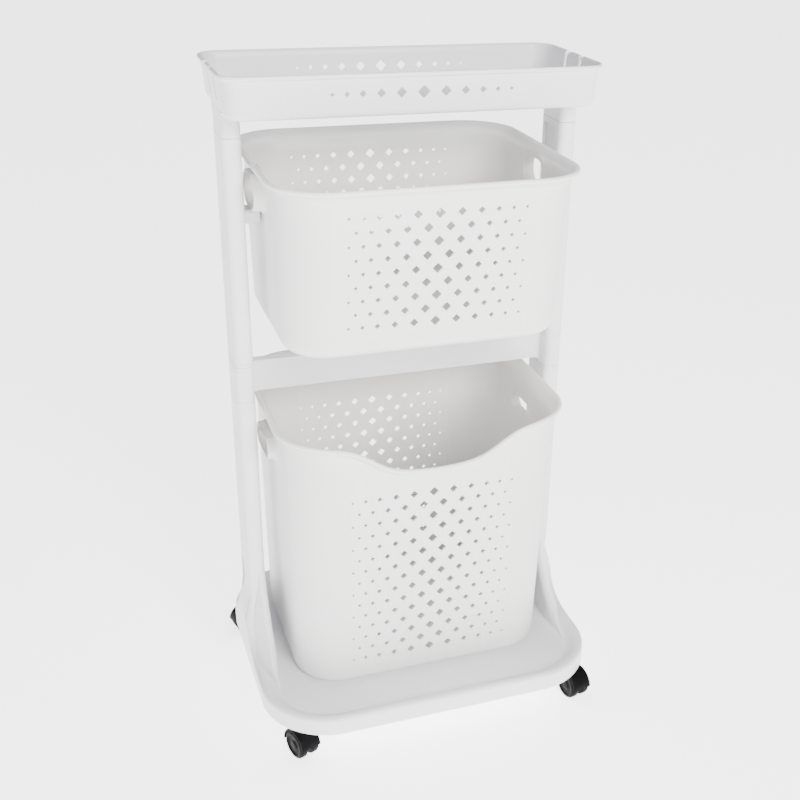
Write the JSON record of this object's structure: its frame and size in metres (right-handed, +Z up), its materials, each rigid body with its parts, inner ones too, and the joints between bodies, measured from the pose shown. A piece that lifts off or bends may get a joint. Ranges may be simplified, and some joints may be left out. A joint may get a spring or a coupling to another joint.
{
  "type": "laundry sorter",
  "caption": "Wheeled laundry stand with a shallow perforated top tray, a hanging middle basket and a tall scoop-front lower basket between two flat columns on a dished base.",
  "frame": {"origin": "on the floor under the centre of the bounding box", "axes": "+X to the right of a person who faces the scooped front, -Y out of that front, +Z up"},
  "size_m": [0.4807, 0.3905, 0.88],
  "materials": {
    "frame_white": "satin",
    "basket_white": "satin",
    "hood_black": "satin",
    "wheel_black": "matt",
    "steel": "plated"
  },
  "bodies": {
    "stand": {"base_tray": "frame_white", "lower_post_left": "frame_white", "lower_post_right": "frame_white", "middle_rail": "frame_white", "upper_post_left": "frame_white", "upper_post_right": "frame_white", "top_tray": "frame_white", "front_left_caster_stem": "steel", "front_right_caster_stem": "steel", "rear_left_caster_stem": "steel", "rear_right_caster_stem": "steel"},
    "middle_basket": {"middle_basket": "basket_white"},
    "lower_basket": {"lower_basket": "basket_white"},
    "front_left_caster": {"front_left_caster_hood": "hood_black", "front_left_caster_axle": "steel"},
    "front_left_wheel_a": {"front_left_caster_wheel_a": "wheel_black"},
    "front_left_wheel_b": {"front_left_caster_wheel_b": "wheel_black"},
    "front_right_caster": {"front_right_caster_hood": "hood_black", "front_right_caster_axle": "steel"},
    "front_right_wheel_a": {"front_right_caster_wheel_a": "wheel_black"},
    "front_right_wheel_b": {"front_right_caster_wheel_b": "wheel_black"},
    "rear_left_caster": {"rear_left_caster_hood": "hood_black", "rear_left_caster_axle": "steel"},
    "rear_left_wheel_a": {"rear_left_caster_wheel_a": "wheel_black"},
    "rear_left_wheel_b": {"rear_left_caster_wheel_b": "wheel_black"},
    "rear_right_caster": {"rear_right_caster_hood": "hood_black", "rear_right_caster_axle": "steel"},
    "rear_right_wheel_a": {"rear_right_caster_wheel_a": "wheel_black"},
    "rear_right_wheel_b": {"rear_right_caster_wheel_b": "wheel_black"}
  },
  "joints": [
    {"name": "middle_basket_draws_forward", "type": "slide", "parent": "stand", "child": "middle_basket", "axis": [0, -1, 0], "range_m": [0, 0.36]},
    {"name": "lower_basket_lifts_forward", "type": "slide", "parent": "stand", "child": "lower_basket", "axis": [0, -0.9806, 0.1959], "range_m": [0, 0.08]},
    {"name": "front_left_swivel", "type": "hinge", "parent": "stand", "child": "front_left_caster", "pos_m": [-0.203, -0.147, 0.045], "axis": [0, 0, 1], "continuous": true},
    {"name": "front_left_wheel_a_spin", "type": "hinge", "parent": "front_left_caster", "child": "front_left_wheel_a", "pos_m": [-0.19691, -0.16287, 0.02], "axis": [0.9336, 0.3584, 0], "continuous": true},
    {"name": "front_left_wheel_b_spin", "type": "hinge", "parent": "front_left_caster", "child": "front_left_wheel_b", "pos_m": [-0.19691, -0.16287, 0.02], "axis": [0.9336, 0.3584, 0], "continuous": true},
    {"name": "front_right_swivel", "type": "hinge", "parent": "stand", "child": "front_right_caster", "pos_m": [0.203, -0.147, 0.045], "axis": [0, 0, 1], "continuous": true},
    {"name": "front_right_wheel_a_spin", "type": "hinge", "parent": "front_right_caster", "child": "front_right_wheel_a", "pos_m": [0.20653, -0.16363, 0.02], "axis": [0.9781, 0.2079, 0], "continuous": true},
    {"name": "front_right_wheel_b_spin", "type": "hinge", "parent": "front_right_caster", "child": "front_right_wheel_b", "pos_m": [0.20653, -0.16363, 0.02], "axis": [0.9781, 0.2079, 0], "continuous": true},
    {"name": "rear_left_swivel", "type": "hinge", "parent": "stand", "child": "rear_left_caster", "pos_m": [-0.2, 0.1385, 0.045], "axis": [0, 0, 1], "continuous": true},
    {"name": "rear_left_wheel_a_spin", "type": "hinge", "parent": "rear_left_caster", "child": "rear_left_wheel_a", "pos_m": [-0.21656, 0.13468, 0.02], "axis": [0.225, -0.9744, 0], "continuous": true},
    {"name": "rear_left_wheel_b_spin", "type": "hinge", "parent": "rear_left_caster", "child": "rear_left_wheel_b", "pos_m": [-0.21656, 0.13468, 0.02], "axis": [0.225, -0.9744, 0], "continuous": true},
    {"name": "rear_right_swivel", "type": "hinge", "parent": "stand", "child": "rear_right_caster", "pos_m": [0.2, 0.1385, 0.045], "axis": [0, 0, 1], "continuous": true},
    {"name": "rear_right_wheel_a_spin", "type": "hinge", "parent": "rear_right_caster", "child": "rear_right_wheel_a", "pos_m": [0.18499, 0.13052, 0.02], "axis": [0.4695, -0.8829, 0], "continuous": true},
    {"name": "rear_right_wheel_b_spin", "type": "hinge", "parent": "rear_right_caster", "child": "rear_right_wheel_b", "pos_m": [0.18499, 0.13052, 0.02], "axis": [0.4695, -0.8829, 0], "continuous": true}
  ]
}
